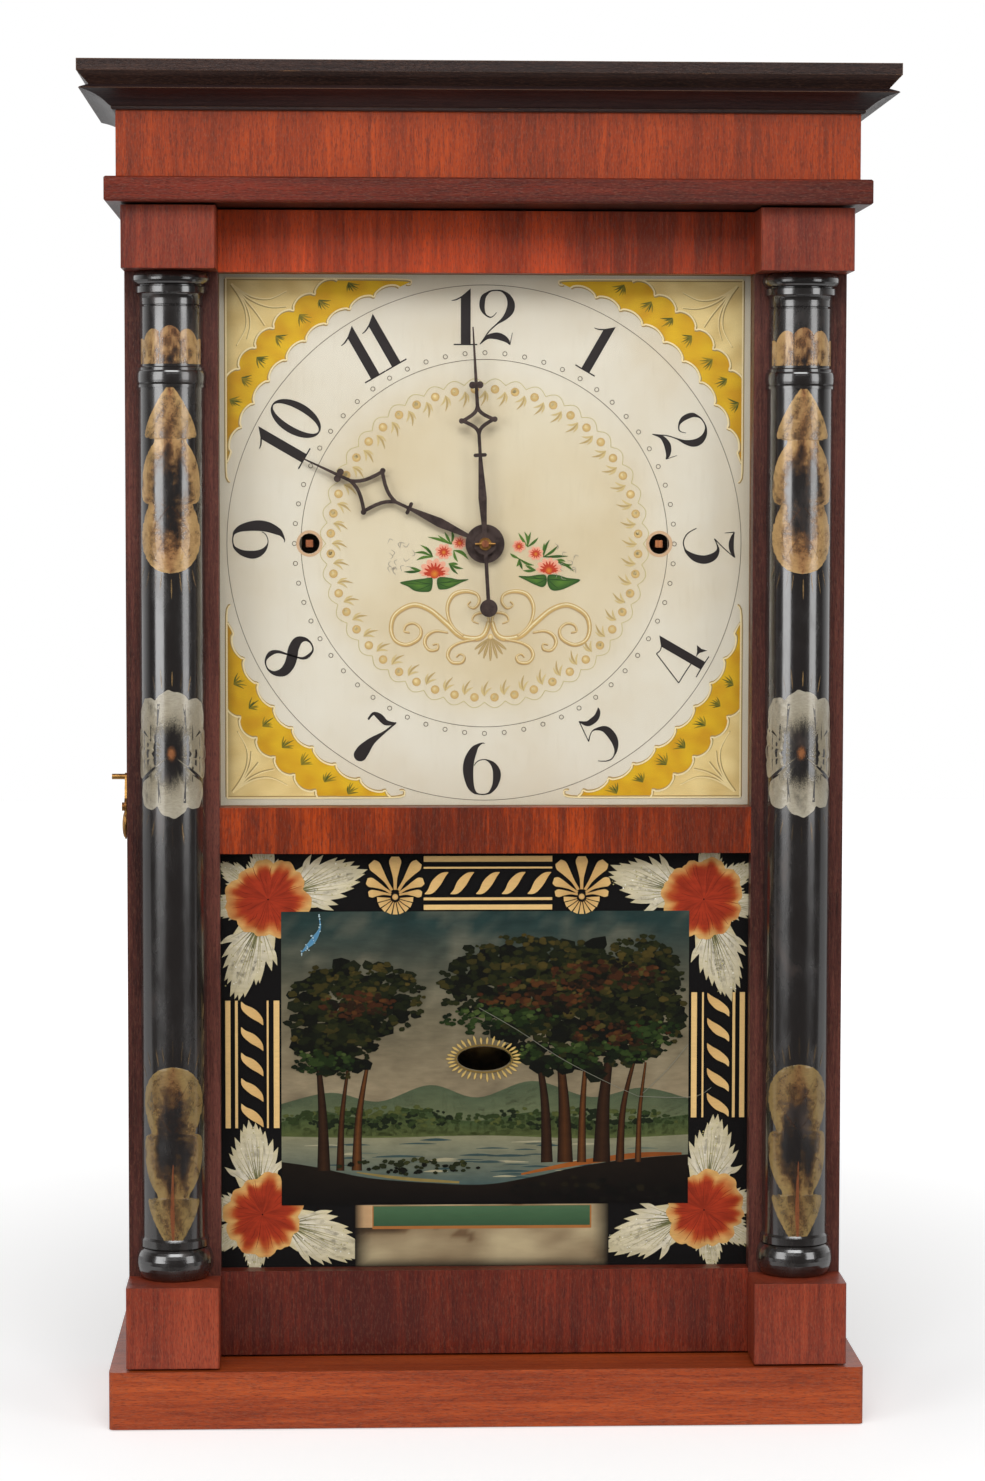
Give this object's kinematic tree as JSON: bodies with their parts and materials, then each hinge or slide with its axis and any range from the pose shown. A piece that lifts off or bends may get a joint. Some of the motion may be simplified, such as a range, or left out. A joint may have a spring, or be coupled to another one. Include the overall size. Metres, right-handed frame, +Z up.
{
  "type": "shelf clock",
  "caption": "Weight-driven shelf clock with a flat cornice, half columns on a full-width glazed door, a painted dial and a wooden movement.",
  "frame": {"origin": "bottom centre of the whole clock's bounding box, on the shelf", "axes": "+Z up; -Y towards the viewer, out of the dial; +X to the right seen from the front"},
  "size_m": [0.429, 0.178, 0.724],
  "materials": {
    "mahogany": "polished",
    "dark_cornice": "worn varnish",
    "pine": "plain",
    "cherry": "plain",
    "dial_paint": "painted",
    "black_column": "gloss paint",
    "glass": "clear",
    "painted_glass": "painted",
    "brass": "aged",
    "iron": "dark",
    "steel": "blued",
    "cord": "plain"
  },
  "bodies": {
    "case": {"base_board": "mahogany", "left_side_board": "mahogany", "right_side_board": "mahogany", "back_board": "pine", "top_board": "pine", "frieze": "mahogany", "frieze_band": "mahogany", "cornice_moulding": "dark_cornice", "cornice_board": "dark_cornice", "dial_rails": "pine", "movement_battens": "pine", "dial_board": "dial_paint", "front_plate": "cherry", "back_plate": "cherry", "plate_pillars": "cherry", "studs_and_posts": "steel", "bell": "iron", "hinge_case_leaves": "brass", "latch_rosette": "brass", "cord_runs": "cord", "left_cord_drop": "cord", "right_cord_drop": "cord"},
    "door": {"door_stiles": "mahogany", "top_rail": "mahogany", "middle_rail": "mahogany", "bottom_rail": "mahogany", "corner_blocks": "mahogany", "half_columns": "black_column", "dial_glass": "glass", "tablet_glass": "painted_glass", "glazing_strips": "pine", "latch_stud": "brass", "hinge_door_leaves": "brass"},
    "latch": {"latch_hook": "brass"},
    "minute": {"centre_wheel": "cherry", "minute_hand": "steel", "hand_collet": "brass"},
    "hour": {"hour_wheel": "cherry", "hour_hand": "steel"},
    "motion": {"motion_wheel": "cherry"},
    "second": {"time_second_wheel": "cherry"},
    "time_wheel": {"time_great_wheel": "cherry"},
    "third": {"third_wheel": "cherry"},
    "escape": {"escape_wheel": "cherry"},
    "verge": {"verge": "steel"},
    "pendulum": {"pendulum_rod": "brass", "pendulum_bob": "brass"},
    "time_drum": {"time_drum": "cherry"},
    "strike_drum": {"strike_drum": "cherry"},
    "strike_wheel": {"strike_great_wheel": "cherry"},
    "pin": {"pin_wheel": "cherry"},
    "warning": {"warning_wheel": "cherry"},
    "fly": {"fly": "cherry"},
    "count": {"count_wheel": "cherry"},
    "count_lever": {"count_lever": "steel"},
    "hammer": {"hammer": "steel"},
    "right_pulley": {"right_pulley": "cherry"},
    "left_pulley": {"left_pulley": "cherry"},
    "right_weight": {"right_weight": "iron"},
    "left_weight": {"left_weight": "iron"}
  },
  "joints": [
    {"name": "door_hinge", "type": "hinge", "parent": "case", "child": "door", "pos_m": [0.1935, -0.0142, 0], "axis": [0, 0, 1], "range_deg": [0, 110]},
    {"name": "latch_pivot", "type": "hinge", "parent": "case", "child": "latch", "pos_m": [-0.1945, -0.004, 0.3195], "axis": [-1, 0, 0], "range_deg": [0, 70]},
    {"name": "minute_spin", "type": "hinge", "parent": "case", "child": "minute", "pos_m": [0, 0.049, 0.473], "axis": [0, 1, 0], "continuous": true},
    {"name": "hour_spin", "type": "hinge", "parent": "case", "child": "hour", "pos_m": [0, 0.049, 0.473], "axis": [0, 1, 0], "continuous": true},
    {"name": "motion_spin", "type": "hinge", "parent": "case", "child": "motion", "pos_m": [0, 0.049, 0.495], "axis": [0, 1, 0], "continuous": true},
    {"name": "second_spin", "type": "hinge", "parent": "case", "child": "second", "pos_m": [0.04361, 0.049, 0.48327], "axis": [0, 1, 0], "continuous": true},
    {"name": "time_wheel_spin", "type": "hinge", "parent": "case", "child": "time_wheel", "pos_m": [0.0954, 0.049, 0.473], "axis": [0, 1, 0], "continuous": true},
    {"name": "third_spin", "type": "hinge", "parent": "case", "child": "third", "pos_m": [0.01983, 0.049, 0.43462], "axis": [0, 1, 0], "continuous": true},
    {"name": "escape_spin", "type": "hinge", "parent": "case", "child": "escape", "pos_m": [0, 0.049, 0.409], "axis": [0, 1, 0], "continuous": true},
    {"name": "pendulum_swing", "type": "hinge", "parent": "case", "child": "pendulum", "pos_m": [0, 0.01, 0.436], "axis": [0, 1, 0], "range_deg": [-3, 3]},
    {"name": "verge_swing", "type": "hinge", "parent": "case", "child": "verge", "pos_m": [0, 0.033, 0.436], "axis": [0, 1, 0], "range_deg": [-3, 3]},
    {"name": "strike_wheel_spin", "type": "hinge", "parent": "case", "child": "strike_wheel", "pos_m": [-0.0954, 0.049, 0.473], "axis": [0, 1, 0], "continuous": true},
    {"name": "pin_spin", "type": "hinge", "parent": "case", "child": "pin", "pos_m": [-0.06388, 0.049, 0.51335], "axis": [0, 1, 0], "continuous": true},
    {"name": "warning_spin", "type": "hinge", "parent": "case", "child": "warning", "pos_m": [-0.03179, 0.049, 0.51785], "axis": [0, 1, 0], "continuous": true},
    {"name": "fly_spin", "type": "hinge", "parent": "case", "child": "fly", "pos_m": [-0.00398, 0.049, 0.52531], "axis": [0, 1, 0], "continuous": true},
    {"name": "count_spin", "type": "hinge", "parent": "case", "child": "count", "pos_m": [-0.04648, 0.049, 0.48321], "axis": [0, 1, 0], "continuous": true},
    {"name": "count_lever_lift", "type": "hinge", "parent": "case", "child": "count_lever", "pos_m": [-0.108, 0.0355, 0.497], "axis": [0, 1, 0], "range_deg": [-8, 0]},
    {"name": "hammer_lift", "type": "hinge", "parent": "case", "child": "hammer", "pos_m": [-0.104, 0.063, 0.538], "axis": [0, 1, 0], "range_deg": [-12, 0]},
    {"name": "right_weight_lift", "type": "slide", "parent": "case", "child": "right_weight", "axis": [0, 0, 1], "range_m": [0, 0.42], "deforming": ["right_cord_drop"]},
    {"name": "left_weight_lift", "type": "slide", "parent": "case", "child": "left_weight", "axis": [0, 0, 1], "range_m": [0, 0.42], "deforming": ["left_cord_drop"]},
    {"name": "time_drum_wind", "type": "hinge", "parent": "case", "child": "time_drum", "pos_m": [0.0954, 0.049, 0.473], "axis": [0, 1, 0], "range_deg": [0, 1700]},
    {"name": "strike_drum_wind", "type": "hinge", "parent": "case", "child": "strike_drum", "pos_m": [-0.0954, 0.049, 0.473], "axis": [0, 1, 0], "range_deg": [-1700, 0]},
    {"name": "right_pulley_turn", "type": "hinge", "parent": "case", "child": "right_pulley", "pos_m": [0.157, 0.04235, 0.668], "axis": [0, 1, 0], "range_deg": [-2310, 0]},
    {"name": "left_pulley_turn", "type": "hinge", "parent": "case", "child": "left_pulley", "pos_m": [-0.157, 0.04235, 0.668], "axis": [0, 1, 0], "range_deg": [0, 2310]}
  ],
  "couplings": [
    {"joint": "second_spin", "follows": "minute_spin", "ratio": -0.75},
    {"joint": "time_wheel_spin", "follows": "minute_spin", "ratio": 0.16667},
    {"joint": "third_spin", "follows": "minute_spin", "ratio": -11},
    {"joint": "escape_spin", "follows": "minute_spin", "ratio": 88},
    {"joint": "motion_spin", "follows": "minute_spin", "ratio": -0.33333},
    {"joint": "hour_spin", "follows": "minute_spin", "ratio": 0.083333},
    {"joint": "verge_swing", "follows": "pendulum_swing", "ratio": 1},
    {"joint": "pin_spin", "follows": "strike_wheel_spin", "ratio": -4.3333},
    {"joint": "warning_spin", "follows": "strike_wheel_spin", "ratio": 34.667},
    {"joint": "fly_spin", "follows": "strike_wheel_spin", "ratio": -242.67},
    {"joint": "count_spin", "follows": "strike_wheel_spin", "ratio": 0.5},
    {"joint": "time_drum_wind", "follows": "right_weight_lift", "rad_per_m": 69.93},
    {"joint": "right_pulley_turn", "follows": "right_weight_lift", "rad_per_m": -95.238},
    {"joint": "strike_drum_wind", "follows": "left_weight_lift", "rad_per_m": -69.93},
    {"joint": "left_pulley_turn", "follows": "left_weight_lift", "rad_per_m": 95.238}
  ]
}
